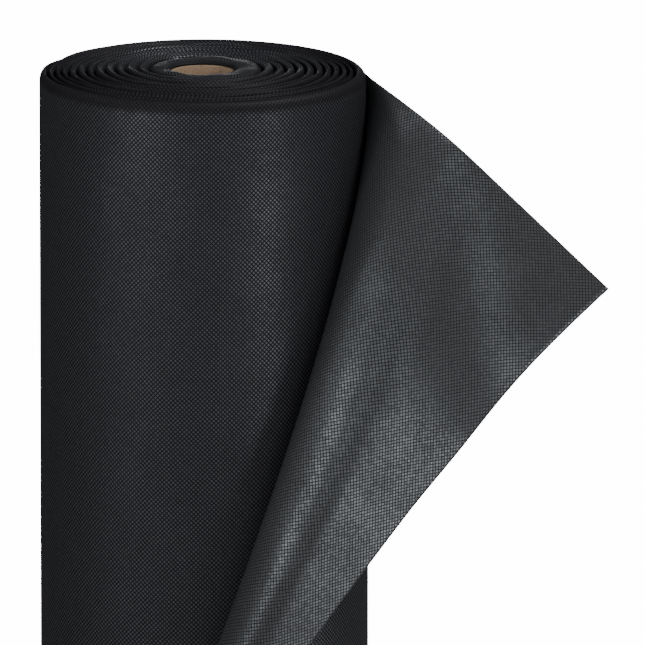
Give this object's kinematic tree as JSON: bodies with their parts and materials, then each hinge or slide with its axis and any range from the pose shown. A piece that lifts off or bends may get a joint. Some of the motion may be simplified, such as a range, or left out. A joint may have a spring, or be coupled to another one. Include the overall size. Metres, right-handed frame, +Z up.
{
  "type": "roll of weed control fabric",
  "caption": "Standing roll of black weed control fabric on a cardboard tube, with soft rounded ridges at its ends and the free corner of its last layer folded out to one side.",
  "frame": {"origin": "the middle of the base of the box round the whole part, on the surface that the roll stands on", "axes": "+Z up along the roll; -Y towards the pictured side; +X towards the side that the loose corner is folded out to; the roll's own axis is upright through x -0.0764, y 0.0208"},
  "size_m": [0.3592, 0.2512, 1],
  "materials": {
    "cardboard": "matt, pressed brown card",
    "tape": "clear brown tape, sticky on both sides",
    "fabric_outer": "black fabric, pressed with a fine pattern of dots",
    "fabric_inner": "black fabric, its inner side, a little lighter in the light"
  },
  "bodies": {
    "roll": {"core_tube": "cardboard", "start_tape": "tape", "wound_fabric": "fabric_outer", "outer_layer": "fabric_outer"},
    "loose_corner": {"loose_corner": "fabric_inner"}
  },
  "joints": [
    {"name": "corner_bend", "type": "hinge", "parent": "roll", "child": "loose_corner", "pos_m": [0.10157, -0.05902, 0.8689], "axis": [0, 0.0916, 0.9958], "range_deg": [-60, 45], "stiffness_Nm_per_rad": 0.05}
  ]
}
